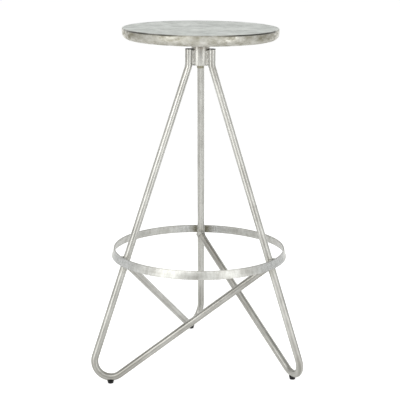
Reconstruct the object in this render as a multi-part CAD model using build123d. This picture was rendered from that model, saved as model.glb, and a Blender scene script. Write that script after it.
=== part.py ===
from build123d import *
import math
import os

# A backless tripod bar stool: a round metal-clad seat that swivels on a short post, carried by three
# bent tubes. Each tube starts upright beside the hub, runs out to the floor, turns in a round foot and
# climbs back as a brace to the inside of the next leg. A flat band hoop outside the legs is the footrest.
# The stool's axis is Z, the floor is Z = 0, sizes are millimetres and angles are degrees.

# Seat
SEAT_HEIGHT = 762.0
SEAT_DIAMETER = 338.0
SEAT_DEPTH = 24.0
SHEET_THICKNESS = 1.2
SEAT_TOP_RADIUS = 3.0
SEAT_LOW_RADIUS = 14.0
LIP_WIDTH = 24.0

# Plate, post and their fasteners
PLATE_DIAMETER = 110.0
PLATE_THICKNESS = 4.0
PLATE_CHAMFER = 0.6
SCREW_CIRCLE_DIAMETER = 84.0
SCREW_COUNT = 4
SCREW_SHANK = 4.2
SCREW_HOLE = 5.0
SCREW_LENGTH = 18.0
SCREW_TIP = 4.0
SCREW_HEAD_DIAMETER = 9.0
SCREW_HEAD_HEIGHT = 2.8
POST_DIAMETER = 34.9
POST_CHAMFER = 1.0
POST_WELD_LEG = 4.0
BOLT_DIAMETER = 8.0
BOLT_HOLE = 9.0
BOLT_REACH = 20.0
BOLT_TIP_ROOM = 4.0
BOLT_HEAD_FLATS = 13.0
BOLT_HEAD_SIDES = 6
BOLT_HEAD_HEIGHT = 5.3
BOLT_HEAD_CHAMFER = 1.0
WASHER_DIAMETER = 16.0
WASHER_HOLE = 8.4
WASHER_THICKNESS = 1.6

# Hub
HUB_DROP = 45.0
SLEEVE_DIAMETER = 41.3
SLEEVE_WALL = 1.65
SLEEVE_DROP = 35.0
SLEEVE_SEAT_GAP = 7.3
SLEEVE_CHAMFER = 0.5
BASE_THICKNESS = 4.0
THRUST_THICKNESS = 2.0
BUSH_LENGTH = 12.0
BUSH_RECESS = 0.4
BUSH_CHAMFER = 0.3

# Legs
LEG_NAMES = ("rear", "front_left", "front_right")
FIRST_LEG_ANGLE = 90.0
TUBE_DIAMETER = 15.9
TUBE_WALL = 1.5
LEG_ANGLE = 20.0
HUB_BEND_DROP = 0.5
HUB_BEND_RADIUS = 30.0
FOOT_BEND_RADIUS = 35.0
BRACE_HEIGHT = 255.0
BRACE_LAP = 4.0
PLUG_FLANGE = 1.2
PLUG_EDGE = 0.5
PLUG_DEPTH = 12.0

# Glides
GLIDE_HEIGHT = 6.0
GLIDE_RIM = 1.4
GLIDE_FOOT_DIAMETER = 11.8
GLIDE_TOP_DIAMETER = 15.6
GLIDE_EDGE = 0.8
GLIDE_STEM_DIAMETER = 5.0
GLIDE_STEM_REACH = 4.0

# Foot ring
RING_HEIGHT = 264.5
BAND_WIDTH = 19.05
BAND_THICKNESS = 3.0
BAND_TILT = 15.0
BAND_EDGE = 0.6

# Weld beads
HUB_BEAD = 2.0
HUB_BEAD_MARGIN = 1.0
RING_BEAD = 2.0
RING_BEAD_MARGIN = 1.5
BRACE_BEAD = 1.5
BRACE_BEAD_LENGTH = 4.0
BRACE_BEAD_CAP = 1.0
BEAD_SINK = 0.6

# Clearances, each measured on the radius or across the gap
CORE_CLEARANCE = 0.1
FIT_CLEARANCE = 0.05
RUNNING_CLEARANCE = 0.06
AXIAL_PLAY = 0.3
WELD_GAP = 0.1
MIN_EDGE = 0.2

# Levels and radii that follow from the sizes above
leg_pitch = 360 / len(LEG_NAMES)
leg_places = {name: FIRST_LEG_ANGLE + index * leg_pitch for index, name in enumerate(LEG_NAMES)}
tube_radius = TUBE_DIAMETER / 2
bore_radius = tube_radius - TUBE_WALL
sleeve_radius = SLEEVE_DIAMETER / 2
sleeve_bore = sleeve_radius - SLEEVE_WALL
post_radius = POST_DIAMETER / 2
seat_radius = SEAT_DIAMETER / 2
seat_bottom = SEAT_HEIGHT - SEAT_DEPTH
core_inset = SHEET_THICKNESS + CORE_CLEARANCE
core_bottom = seat_bottom + core_inset
plate_bottom = core_bottom - PLATE_THICKNESS
hub_top = SEAT_HEIGHT - HUB_DROP
sleeve_top = plate_bottom - SLEEVE_SEAT_GAP
sleeve_bottom = hub_top - SLEEVE_DROP
base_top = sleeve_bottom + BASE_THICKNESS
post_bottom = base_top + THRUST_THICKNESS
washer_top = sleeve_bottom - AXIAL_PLAY
washer_bottom = washer_top - WASHER_THICKNESS
bolt_length = post_bottom + BOLT_REACH - washer_bottom
leg_top_radius = sleeve_radius + WELD_GAP + tube_radius
bend_height = sleeve_bottom - HUB_BEND_DROP
leg_slope = math.tan(math.radians(LEG_ANGLE))
leg_width = tube_radius / math.cos(math.radians(LEG_ANGLE))
foot_axis_height = GLIDE_HEIGHT + tube_radius
upward = Vector(-math.sin(math.radians(LEG_ANGLE)), 0, math.cos(math.radians(LEG_ANGLE)))
outward = Vector(math.cos(math.radians(LEG_ANGLE)), 0, math.sin(math.radians(LEG_ANGLE)))


def leg_radius(height):
    """Distance of a leg's sloping axis from the stool's axis at a height."""
    return leg_top_radius + (bend_height - height) * leg_slope


def upright(radius, low, high):
    """A cylinder on the stool's axis between two heights."""
    return Pos(0, 0, low) * Cylinder(radius, high - low, align=(Align.CENTER, Align.CENTER, Align.MIN))


def rod(start, direction, radius, length):
    """A cylinder from a point along a direction."""
    place = Plane(origin=start, z_dir=direction)
    return place * Cylinder(radius, length, align=(Align.CENTER, Align.CENTER, Align.MIN))


def around(shape, angle):
    """A shape turned about the stool's axis."""
    return Rot(0, 0, angle) * shape


# The brace's axis ends on the inner side of the next leg.
brace_end = Vector(leg_radius(BRACE_HEIGHT) - leg_width, 0, BRACE_HEIGHT).rotate(Axis.Z, leg_pitch)


def foot_bend(corner_height):
    """The corner where leg and brace axes meet, and the lowest point of the rounded bend between them."""
    corner = Vector(leg_radius(corner_height), 0, corner_height)
    climb = (brace_end - corner).normalized()
    half_angle = math.radians(upward.get_angle(climb) / 2)
    centre = corner + (upward + climb).normalized() * (FOOT_BEND_RADIUS / math.sin(half_angle))
    normal = upward.cross(climb).normalized()
    down = Vector(0, 0, -1) + normal * normal.Z
    return corner, centre + down.normalized() * FOOT_BEND_RADIUS


def foot_corner():
    """The corner that puts the foot bend's lowest point at its height above the floor."""
    low = -SEAT_HEIGHT / 2
    high = BRACE_HEIGHT / 2
    while high - low > FIT_CLEARANCE / 1000:
        middle = (low + high) / 2
        if foot_bend(middle)[1].Z < foot_axis_height:
            low = middle
        else:
            high = middle
    return foot_bend(high)


corner, foot = foot_corner()
brace_direction = (brace_end - corner).normalized()
brace_tip = brace_end + brace_direction * BRACE_LAP


# Legs, modelled on the X axis and then turned to their places

def tube_along_leg(radius):
    """A round bar along a whole leg and its brace."""
    top = Vector(leg_top_radius, 0, hub_top)
    bend = Vector(leg_top_radius, 0, bend_height)
    path = FilletPolyline(top, bend, corner, brace_tip, radius=[HUB_BEND_RADIUS, FOOT_BEND_RADIUS])
    return sweep(Plane(origin=path @ 0, z_dir=path % 0) * Circle(radius), path)


def leg_run(radius):
    """A round bar along a leg's sloping run alone."""
    start = Vector(leg_radius(0), 0, 0)
    return rod(start, upward, radius, bend_height / upward.Z)


def leg():
    """A bent tube, its brace end fitted to the next leg, with a hole for the glide's stem."""
    tube = tube_along_leg(tube_radius) - tube_along_leg(bore_radius)
    tube -= around(leg_run(tube_radius + WELD_GAP), leg_pitch)
    stem = rod(Vector(foot.X, foot.Y, 0), Vector(0, 0, 1), GLIDE_STEM_DIAMETER / 2 + FIT_CLEARANCE, foot.Z)
    tube -= stem
    return tube.solids().sort_by(SortBy.VOLUME)[-1]


def tube_plug():
    """The cap that closes a leg's upper end."""
    flange = Cylinder(tube_radius, PLUG_FLANGE, align=(Align.CENTER, Align.CENTER, Align.MIN))
    flange = fillet(flange.edges().group_by(Axis.Z)[-1], PLUG_EDGE)
    stem = Cylinder(bore_radius - FIT_CLEARANCE, PLUG_DEPTH, align=(Align.CENTER, Align.CENTER, Align.MAX))
    return Pos(leg_top_radius, 0, hub_top) * (flange + stem)


def glide():
    """A tapered foot with a saddle that follows the bend and a stem pressed into the tube."""
    height = GLIDE_HEIGHT + GLIDE_RIM
    body = Cone(GLIDE_FOOT_DIAMETER / 2, GLIDE_TOP_DIAMETER / 2, height,
                align=(Align.CENTER, Align.CENTER, Align.MIN))
    body = fillet(body.edges().group_by(Axis.Z)[0], GLIDE_EDGE)
    body = Pos(foot.X, foot.Y, 0) * body - tube_along_leg(tube_radius + FIT_CLEARANCE)
    stem_base = Vector(foot.X, foot.Y, GLIDE_HEIGHT / 2)
    stem_length = GLIDE_HEIGHT / 2 + TUBE_WALL + GLIDE_STEM_REACH
    return body + rod(stem_base, Vector(0, 0, 1), GLIDE_STEM_DIAMETER / 2, stem_length)


# Foot ring

def foot_ring(growth=0.0):
    """The band hoop, its lower inner edge set against the legs and its face tilted to lean with them."""
    tilt = math.radians(BAND_TILT)
    low_height = RING_HEIGHT - BAND_WIDTH / 2 * math.cos(tilt)
    inner_low = leg_radius(low_height) + leg_width + WELD_GAP
    band = Pos(BAND_THICKNESS / 2, BAND_WIDTH / 2) * Rectangle(BAND_THICKNESS, BAND_WIDTH)
    band = fillet(band.vertices(), BAND_EDGE)
    if growth:
        band = offset(band, growth)
    band = Plane.XZ * Pos(inner_low, low_height) * Rot(0, 0, BAND_TILT) * band
    return revolve(band, Axis.Z)


# Weld beads

def hub_beads():
    """A bead down each side of the seam between a leg's upright end and the hub sleeve."""
    reach = sleeve_radius + HUB_BEAD
    tube_reach = tube_radius + HUB_BEAD
    along = (reach ** 2 - tube_reach ** 2 + leg_top_radius ** 2) / (2 * leg_top_radius)
    aside = math.sqrt(reach ** 2 - along ** 2)
    low = sleeve_bottom + HUB_BEAD_MARGIN
    length = hub_top - HUB_BEAD_MARGIN - low
    beads = []
    for side in (-aside, aside):
        bead = rod(Vector(along, side, low), Vector(0, 0, 1), HUB_BEAD + BEAD_SINK, length)
        bead -= upright(sleeve_radius + FIT_CLEARANCE, low, hub_top)
        bead -= Pos(leg_top_radius, 0, 0) * upright(tube_radius + FIT_CLEARANCE, low, hub_top)
        beads.append(bead)
    return beads


def ring_beads():
    """A bead down each side of a leg where it crosses behind the foot ring."""
    slope_gap = BAND_WIDTH / 2 * math.tan(math.radians(LEG_ANGLE - BAND_TILT)) + WELD_GAP
    inward = tube_radius + slope_gap - RING_BEAD
    aside = math.sqrt((tube_radius + RING_BEAD) ** 2 - inward ** 2)
    length = BAND_WIDTH - 2 * RING_BEAD_MARGIN
    middle = Vector(leg_radius(RING_HEIGHT), 0, RING_HEIGHT) + outward * inward
    start = middle - upward * (length / 2)
    band = foot_ring(FIT_CLEARANCE)
    tube = leg_run(tube_radius + FIT_CLEARANCE)
    beads = []
    for side in (-aside, aside):
        bead = rod(start + Vector(0, side, 0), upward, RING_BEAD + BEAD_SINK, length)
        bead = bead - band - tube
        beads.append(bead.solids().sort_by(SortBy.VOLUME)[-1])
    return beads


def brace_beads():
    """A bead all the way round the brace's end on the next leg, closing the tube's mouth."""
    next_leg = around(leg_run(tube_radius + FIT_CLEARANCE), leg_pitch)
    inside = rod(corner, brace_direction, tube_radius + FIT_CLEARANCE,
                 (brace_tip - corner).length + FIT_CLEARANCE)
    along_brace = Plane(origin=brace_end, z_dir=brace_direction)
    lapped = along_brace.to_local_coords(inside & next_leg)
    hold = max(BRACE_BEAD_LENGTH, FIT_CLEARANCE - lapped.bounding_box().min.Z)
    length = hold + BRACE_LAP + BRACE_BEAD_CAP
    bead = rod(brace_end - brace_direction * hold, brace_direction, tube_radius + BRACE_BEAD, length)
    bead = bead - inside - next_leg
    return [bead.solids().sort_by(SortBy.VOLUME)[-1]]


def at_each_leg(shapes):
    """Copies of some shapes at all three legs, as one group."""
    copies = [around(shape, angle) for angle in leg_places.values() for shape in shapes]
    return Compound(children=[copy.solid() for copy in copies])


# Hub

def ring_of(outer, inner, low, high, edge=0.0):
    """A plain collar on the stool's axis, its rims broken by a chamfer."""
    collar = upright(outer, low, high) - upright(inner, low, high)
    if edge:
        collar = chamfer(collar.edges().filter_by(GeomType.CIRCLE), edge)
    return collar


def hub_sleeve():
    """The steel sleeve that the legs are welded round."""
    return ring_of(sleeve_radius, sleeve_bore, sleeve_bottom, sleeve_top, SLEEVE_CHAMFER)


def bush(low):
    """A nylon bearing bush between the sleeve and the post."""
    return ring_of(sleeve_bore - FIT_CLEARANCE, post_radius + RUNNING_CLEARANCE, low, low + BUSH_LENGTH,
                   BUSH_CHAMFER)


# Seat

def seat_blank(inset):
    """The seat's rounded disc, drawn in on every side."""
    disc = upright(seat_radius - inset, seat_bottom + inset, SEAT_HEIGHT - inset)
    disc = fillet(disc.edges().group_by(Axis.Z)[-1], max(SEAT_TOP_RADIUS - inset, MIN_EDGE))
    return fillet(disc.edges().group_by(Axis.Z)[0], max(SEAT_LOW_RADIUS - inset, MIN_EDGE))


def seat_shell():
    """The spun sheet pan: flat top, upright rim and a lip rolled in under the core."""
    mouth = upright(seat_radius - LIP_WIDTH, seat_bottom, SEAT_HEIGHT - SHEET_THICKNESS * 2)
    return seat_blank(0) - seat_blank(SHEET_THICKNESS) - mouth


def at_screws(shape):
    """Copies of a shape round the plate's screw circle."""
    return [place * shape for place in PolarLocations(SCREW_CIRCLE_DIAMETER / 2, SCREW_COUNT)]


def seat_core():
    """The plywood disc inside the pan, with a pilot hole for each screw."""
    pilot = upright(SCREW_SHANK / 2 + FIT_CLEARANCE, core_bottom, plate_bottom + SCREW_LENGTH)
    return seat_blank(core_inset) - at_screws(pilot)


def seat_plate():
    """The round steel plate between the post and the core."""
    plate = upright(PLATE_DIAMETER / 2, plate_bottom, core_bottom)
    plate = chamfer(plate.edges().group_by(Axis.Z)[0], PLATE_CHAMFER)
    return plate - at_screws(upright(SCREW_HOLE / 2, plate_bottom, core_bottom))


def plate_screws():
    """Pan head screws up through the plate into the core."""
    head_edge = SCREW_HEAD_DIAMETER / 2
    shank = SCREW_SHANK / 2
    crown = Vector(0, plate_bottom - SCREW_HEAD_HEIGHT)
    brim = Vector(head_edge, plate_bottom)
    dome = TangentArc(crown, brim, tangent=(1, 0))
    body = Polyline(brim, (shank, plate_bottom), (shank, plate_bottom + SCREW_LENGTH - SCREW_TIP),
                    (0, plate_bottom + SCREW_LENGTH), crown)
    screw = revolve(Plane.XZ * make_face(Wire([dome, *body.edges()])), Axis.Z)
    return Compound(children=[copy.solid() for copy in at_screws(screw)])


def seat_post():
    """The turned post that swivels in the bushes, tapped below for the retaining bolt."""
    post = upright(post_radius, post_bottom, plate_bottom)
    post = chamfer(post.edges().group_by(Axis.Z)[0], POST_CHAMFER)
    hole_top = washer_bottom + bolt_length + BOLT_TIP_ROOM
    return post - upright(BOLT_DIAMETER / 2 + FIT_CLEARANCE, post_bottom, hole_top)


def post_weld():
    """The fillet weld between the post and the plate."""
    inner = post_radius + FIT_CLEARANCE
    top = plate_bottom - FIT_CLEARANCE
    section = Polyline((inner, top), (inner + POST_WELD_LEG, top), (inner, top - POST_WELD_LEG), close=True)
    return revolve(Plane.XZ * make_face(section), Axis.Z)


def retaining_bolt():
    """The hex bolt that holds the post down in the sleeve."""
    head_bottom = washer_bottom - BOLT_HEAD_HEIGHT
    hexagon = RegularPolygon(BOLT_HEAD_FLATS / 2, BOLT_HEAD_SIDES, major_radius=False)
    head = Pos(0, 0, head_bottom) * extrude(hexagon, BOLT_HEAD_HEIGHT)
    head_corner = BOLT_HEAD_FLATS / 2 / math.cos(math.pi / BOLT_HEAD_SIDES)
    blank = upright(head_corner, head_bottom, washer_bottom)
    blank = chamfer(blank.edges().group_by(Axis.Z)[0], BOLT_HEAD_CHAMFER)
    return (head & blank) + upright(BOLT_DIAMETER / 2, washer_bottom, washer_bottom + bolt_length)


# Every piece by name

pieces = {
    "hub_sleeve": hub_sleeve(),
    "hub_base_disc": ring_of(sleeve_bore - FIT_CLEARANCE, BOLT_HOLE / 2, sleeve_bottom, base_top),
    "thrust_washer": ring_of(post_radius - POST_CHAMFER, BOLT_HOLE / 2, base_top, post_bottom),
    "lower_bush": bush(base_top),
    "upper_bush": bush(sleeve_top - BUSH_RECESS - BUSH_LENGTH),
    "foot_ring": foot_ring(),
    "hub_welds": at_each_leg(hub_beads()),
    "ring_welds": at_each_leg(ring_beads()),
    "brace_welds": at_each_leg(brace_beads()),
    "seat_shell": seat_shell(),
    "seat_core": seat_core(),
    "seat_plate": seat_plate(),
    "seat_plate_screws": plate_screws(),
    "seat_post": seat_post(),
    "post_weld": post_weld(),
    "retaining_washer": ring_of(WASHER_DIAMETER / 2, WASHER_HOLE / 2, washer_bottom, washer_top),
    "retaining_bolt": retaining_bolt(),
}
one_leg = leg()
one_plug = tube_plug()
one_glide = glide()
for place, angle in leg_places.items():
    pieces["leg_" + place] = around(one_leg, angle)
    pieces["tube_plug_" + place] = around(one_plug, angle)
    pieces["glide_" + place] = around(one_glide, angle)

os.makedirs("parts", exist_ok=True)
for name, piece in pieces.items():
    export_step(piece, os.path.join("parts", name + ".step"))
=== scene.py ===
import math

import bmesh
import bpy
from bpy.props import FloatProperty, FloatVectorProperty, IntProperty, PointerProperty
from mathutils import Matrix, Vector, noise


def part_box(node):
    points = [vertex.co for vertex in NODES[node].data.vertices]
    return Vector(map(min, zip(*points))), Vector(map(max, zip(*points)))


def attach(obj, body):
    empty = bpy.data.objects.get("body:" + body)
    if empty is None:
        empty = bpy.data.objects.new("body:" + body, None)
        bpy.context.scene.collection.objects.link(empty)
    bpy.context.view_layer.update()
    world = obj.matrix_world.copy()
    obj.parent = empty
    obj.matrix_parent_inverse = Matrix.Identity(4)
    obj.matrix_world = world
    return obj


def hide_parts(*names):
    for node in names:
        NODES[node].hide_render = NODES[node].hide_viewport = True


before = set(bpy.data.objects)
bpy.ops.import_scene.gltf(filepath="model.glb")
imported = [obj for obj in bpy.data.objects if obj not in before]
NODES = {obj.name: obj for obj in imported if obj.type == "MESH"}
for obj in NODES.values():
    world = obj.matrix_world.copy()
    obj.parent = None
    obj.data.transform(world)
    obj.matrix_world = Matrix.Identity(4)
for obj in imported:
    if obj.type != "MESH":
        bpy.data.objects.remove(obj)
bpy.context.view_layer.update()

bl_info = {
    "name": "Galvanised bar stool",
    "version": (1, 0, 0),
    "blender": (4, 5, 0),
    "location": "View3D > Sidebar > Stool",
    "description": "Dresses the bar stool's frame with bent tube, sheet metal, welds and a studio",
    "category": "Object",
}

SEAT_LOW, SEAT_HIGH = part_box("seat_shell")
SLEEVE_LOW, SLEEVE_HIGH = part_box("hub_sleeve")
POST_LOW, POST_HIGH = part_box("seat_post")
RING_LOW, RING_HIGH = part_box("foot_ring")
TUBE_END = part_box("leg_rear")[1].z

# Turns of the legs and of the painted dark reflection line on each tube, in degrees
LEG_TURNS = {"rear": 90, "front_left": 210, "front_right": 330}
DARK_REFLECTION_TURNS = {"rear": 20, "front_left": 100, "front_right": 145}
NEXT_LEG = math.radians(120)
BAND_LEAN = math.radians(15)

# Each straightened tube starts this far from the last, so that no two have the same streaks
LEG_SPACING = 2.3

# Stretches of a straightened tube, measured from its upper end: where painted shade darkens it lower down,
# where its foot starts and ends, and where its brace starts
TUBE_SHADE_STRETCH = (0.45, 0.95)
FOOT_STARTS = (0.62, 0.74)
FOOT_ENDS = (0.80, 0.88)
BRACE_STARTS = (0.70, 0.86)

MERGE_DISTANCE = 1e-6
HARD_EDGE = math.radians(32)
WIDE_STEPS = 192
SLEEVE_STEPS = 96
POST_STEPS = 72
HUB_BEND_STEPS = 6
FOOT_BEND_STEPS = 24
BAND_EDGE_SEGMENTS = 3
SLEEVE_EDGE_SEGMENTS = 2
POST_EDGE_SEGMENTS = 1
SEAT_TOP_SEGMENTS = 6
SEAT_LOW_SEGMENTS = 10
GROOVE_CELLS_ACROSS = 9
GROOVE_CELLS_ALONG = 70

# How fine the zinc's grain and flakes are, against its clouds
GRAIN_FINENESS = 14.0
FLAKE_FINENESS = 4.0

# Weld relief, in noise cells or radians per metre
WELD_LUMPS = 330
GROOVE_FINE_LUMPS = 800
BEAD_FINE_LUMPS = 900
WELD_RIPPLES = 2900
RIPPLE_SWAY = 200

# Bow and shift of the weld ripples, in radians
RIPPLE_BOW = 3
RIPPLE_SHIFT = 2

# Shares of a weld's lump height
GROOVE_LUMP_SHARE = 0.7
BEAD_LUMP_SHARE = 0.4
RIPPLE_SHARE = 0.2


# Sizes and colours

class StoolSizes(bpy.types.PropertyGroup):
    """Sizes of the stool's bent tube, band, sheet and turned parts"""
    tube_diameter: FloatProperty(
        name="Tube diameter", description="Outside diameter of the leg tube", default=0.0159, unit="LENGTH")
    tube_sides: IntProperty(name="Tube sides", description="Facets round a leg tube", default=40, min=12)
    leg_reach: FloatProperty(
        name="Leg reach at the hub", description="Distance of a leg's upright end from the axis",
        default=0.0287, unit="LENGTH")
    leg_lean: FloatProperty(
        name="Leg lean", description="Slope of a leg away from upright",
        default=math.radians(20), subtype="ANGLE")
    hub_bend_height: FloatProperty(
        name="Hub bend height", description="Height of the corner below the hub",
        default=0.6815, unit="LENGTH")
    hub_bend_radius: FloatProperty(
        name="Hub bend radius", description="Radius of the bend below the hub",
        default=0.030, unit="LENGTH")
    foot_corner_height: FloatProperty(
        name="Foot corner height", description="Height where the axes of a leg and its brace would meet",
        default=-0.04255, unit="LENGTH")
    foot_bend_radius: FloatProperty(
        name="Foot bend radius", description="Radius of the round foot", default=0.035, unit="LENGTH")
    brace_height: FloatProperty(
        name="Brace height", description="Height of a brace's end on the next leg",
        default=0.255, unit="LENGTH")
    brace_lap: FloatProperty(
        name="Brace lap", description="How far a brace runs into its weld", default=0.004, unit="LENGTH")
    band_width: FloatProperty(
        name="Band width", description="Width of the foot ring's flat bar", default=0.01905, unit="LENGTH")
    band_thickness: FloatProperty(
        name="Band thickness", description="Thickness of the foot ring's flat bar",
        default=0.003, unit="LENGTH")
    band_tilt: FloatProperty(
        name="Band tilt", description="Lean of the foot ring's face", default=BAND_LEAN, subtype="ANGLE")
    band_edge: FloatProperty(
        name="Band edge", description="Rounding of the flat bar's corners", default=0.0006, unit="LENGTH")
    sheet_thickness: FloatProperty(
        name="Sheet thickness", description="Thickness of the seat's sheet", default=0.0012, unit="LENGTH")
    seat_top_radius: FloatProperty(
        name="Seat top radius", description="Rounding of the seat's upper edge",
        default=0.003, unit="LENGTH")
    seat_low_radius: FloatProperty(
        name="Seat low radius", description="Rounding of the seat's lower edge",
        default=0.014, unit="LENGTH")
    lip_width: FloatProperty(
        name="Lip width", description="Width of the lip rolled in under the seat",
        default=0.024, unit="LENGTH")
    sleeve_wall: FloatProperty(
        name="Sleeve wall", description="Wall of the hub sleeve", default=0.00165, unit="LENGTH")
    sleeve_edge: FloatProperty(
        name="Sleeve edge", description="Rounding of the hub sleeve's ends", default=0.0005, unit="LENGTH")
    post_edge: FloatProperty(
        name="Post edge", description="Chamfer at the swivel post's foot", default=0.001, unit="LENGTH")
    weld_voxel: FloatProperty(
        name="Weld grain", description="Size of the cells that a weld bead is rebuilt from",
        default=0.00045, unit="LENGTH")
    weld_swell: FloatProperty(
        name="Weld swell", description="How far a weld bead spreads over what it joins",
        default=0.0003, unit="LENGTH")
    weld_lumps: FloatProperty(
        name="Weld lumps", description="Height of the lumps on a weld bead", default=0.0007, unit="LENGTH")
    weld_depth: FloatProperty(
        name="Weld depth", description="Thickness of a hub weld's face", default=0.001, unit="LENGTH")
    weld_dip: FloatProperty(
        name="Weld dip", description="How far a hub weld's ends sink into its groove",
        default=0.003, unit="LENGTH")
    weld_tube_turn: FloatProperty(
        name="Weld on tube", description="Turn of a hub weld's edge round the tube",
        default=math.radians(58), subtype="ANGLE")
    weld_sleeve_turn: FloatProperty(
        name="Weld on sleeve", description="Turn of a hub weld's edge round the sleeve",
        default=math.radians(25), subtype="ANGLE")


class StoolFinish(bpy.types.PropertyGroup):
    """Colours of the stool's metals, wood and plastics"""
    tube_light: FloatVectorProperty(
        name="Tube light", description="Bright zinc on the tubes",
        default=(0.555, 0.555, 0.525), subtype="COLOR", min=0, max=1)
    tube_dark: FloatVectorProperty(
        name="Tube dark", description="Dull zinc on the tubes",
        default=(0.245, 0.24, 0.216), subtype="COLOR", min=0, max=1)
    # Tube seam colour: a painted dark reflection line along the tubes, strongest on the braces
    tube_seam: FloatVectorProperty(
        name="Tube seam", description="Tarnish along the tube's own seam",
        default=(0.12, 0.118, 0.108), subtype="COLOR", min=0, max=1)
    band_light: FloatVectorProperty(
        name="Band light", description="Bright zinc on the foot ring",
        default=(0.58, 0.585, 0.56), subtype="COLOR", min=0, max=1)
    band_dark: FloatVectorProperty(
        name="Band dark", description="Dull zinc on the foot ring",
        default=(0.285, 0.28, 0.25), subtype="COLOR", min=0, max=1)
    joint_light: FloatVectorProperty(
        name="Joint light", description="Blue-grey zinc lumps beside the joints",
        default=(0.62, 0.635, 0.635), subtype="COLOR", min=0, max=1)
    joint_dark: FloatVectorProperty(
        name="Joint dark", description="Dull zinc beside the joints",
        default=(0.28, 0.285, 0.28), subtype="COLOR", min=0, max=1)
    scorch: FloatVectorProperty(
        name="Scorch", description="Olive tarnish that welding leaves",
        default=(0.16, 0.147, 0.092), subtype="COLOR", min=0, max=1)
    top_light: FloatVectorProperty(
        name="Seat top light", description="Pale patches of the seat's top",
        default=(0.80, 0.83, 0.79), subtype="COLOR", min=0, max=1)
    top_dark: FloatVectorProperty(
        name="Seat top dark", description="Dull patches of the seat's top",
        default=(0.505, 0.528, 0.50), subtype="COLOR", min=0, max=1)
    rim_light: FloatVectorProperty(
        name="Rim light", description="Bright patches of the seat's rim",
        default=(0.50, 0.495, 0.455), subtype="COLOR", min=0, max=1)
    rim_dark: FloatVectorProperty(
        name="Rim dark", description="Tan patches of the seat's rim",
        default=(0.20, 0.187, 0.135), subtype="COLOR", min=0, max=1)
    # Seam colour: a painted dark reflection along the seat's upper edge
    seam: FloatVectorProperty(
        name="Seam", description="Tarnish along the seat's upper edge",
        default=(0.055, 0.052, 0.045), subtype="COLOR", min=0, max=1)
    weld_light: FloatVectorProperty(
        name="Weld light", description="Zinc on the weld beads",
        default=(0.50, 0.50, 0.47), subtype="COLOR", min=0, max=1)
    weld_dark: FloatVectorProperty(
        name="Weld dark", description="Hollows between the weld ripples",
        default=(0.22, 0.216, 0.19), subtype="COLOR", min=0, max=1)
    steel_light: FloatVectorProperty(
        name="Steel light", description="Turned steel",
        default=(0.64, 0.64, 0.62), subtype="COLOR", min=0, max=1)
    steel_dark: FloatVectorProperty(
        name="Steel dark", description="Tool marks on turned steel",
        default=(0.42, 0.415, 0.395), subtype="COLOR", min=0, max=1)
    # Fastener plating: olive plating colour, partly darkened with painted shade
    plating_light: FloatVectorProperty(
        name="Plating light", description="Olive plating on the fasteners",
        default=(0.33, 0.315, 0.24), subtype="COLOR", min=0, max=1)
    plating_dark: FloatVectorProperty(
        name="Plating dark", description="Dull plating on the fasteners",
        default=(0.175, 0.167, 0.122), subtype="COLOR", min=0, max=1)
    wood_light: FloatVectorProperty(
        name="Wood light", description="Plywood between the grain lines",
        default=(0.60, 0.43, 0.26), subtype="COLOR", min=0, max=1)
    wood_dark: FloatVectorProperty(
        name="Wood dark", description="Plywood grain lines",
        default=(0.36, 0.22, 0.11), subtype="COLOR", min=0, max=1)
    plastic_light: FloatVectorProperty(
        name="Plastic light", description="Scuffs on the black plastic",
        default=(0.035, 0.035, 0.034), subtype="COLOR", min=0, max=1)
    plastic_dark: FloatVectorProperty(
        name="Plastic dark", description="Black plastic",
        default=(0.008, 0.008, 0.008), subtype="COLOR", min=0, max=1)


class StudioSettings(bpy.types.PropertyGroup):
    """Camera and light of the studio"""
    lens: FloatProperty(
        name="Lens", description="Focal length on a 36 mm sensor", default=109.675, unit="CAMERA")
    distance: FloatProperty(
        name="Distance", description="Camera's distance from the stool's axis",
        default=2.62809, unit="LENGTH")
    height: FloatProperty(
        name="Height", description="Camera's height above the floor", default=1.01445, unit="LENGTH")
    turn: FloatProperty(
        name="Turn", description="Camera's turn round the stool",
        default=math.radians(1.3444), subtype="ANGLE")
    pan: FloatProperty(
        name="Pan", description="Camera's aim to the right", default=math.radians(0.0313), subtype="ANGLE")
    pitch: FloatProperty(
        name="Pitch", description="Camera's aim below the horizon",
        default=math.radians(13.5457), subtype="ANGLE")
    roll: FloatProperty(
        name="Roll", description="Camera's lean", default=math.radians(0.4576), subtype="ANGLE")
    strip_power: FloatProperty(
        name="Strip power", description="Power of each upright strip light in front",
        default=6.6, unit="POWER")
    back_power: FloatProperty(
        name="Back power", description="Power of each upright strip light behind",
        default=3.0, unit="POWER")
    bar_power: FloatProperty(
        name="Bar power", description="Power of the bar of light above", default=11.0, unit="POWER")
    key_power: FloatProperty(
        name="Key power", description="Power of the small light at the upper left",
        default=4.0, unit="POWER")
    fill: FloatProperty(name="Fill", description="Strength of the light from all round", default=0.4, min=0)


# Mesh helpers

def joined(bm):
    """A mesh's doubled points merged and its faces turned outwards."""
    bmesh.ops.remove_doubles(bm, verts=bm.verts[:], dist=MERGE_DISTANCE)
    bmesh.ops.recalc_face_normals(bm, faces=bm.faces[:])
    return bm


def turned_round(bm, verts, degrees):
    """Points turned round the stool's axis."""
    bmesh.ops.rotate(bm, verts=verts, cent=(0, 0, 0), matrix=Matrix.Rotation(math.radians(degrees), 3, "Z"))


def spun(points, roundings, closed, steps):
    """A section in the XZ plane, its corners rounded, spun once round the stool's axis."""
    bm = bmesh.new()
    corners = [bm.verts.new((reach, 0, height)) for reach, height in points]
    for first, second in zip(corners, corners[1:]):
        bm.edges.new((first, second))
    if closed:
        bm.edges.new((corners[-1], corners[0]))
    for index, (radius, segments) in roundings.items():
        bmesh.ops.bevel(bm, geom=[corners[index]], offset=radius, offset_type="OFFSET", segments=segments,
                        profile=0.5, affect="VERTICES", material=-1)
    bmesh.ops.spin(bm, geom=bm.verts[:] + bm.edges[:], cent=(0, 0, 0), axis=(0, 0, 1), angle=2 * math.pi,
                   steps=steps, use_merge=True)
    return joined(bm)


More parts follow.
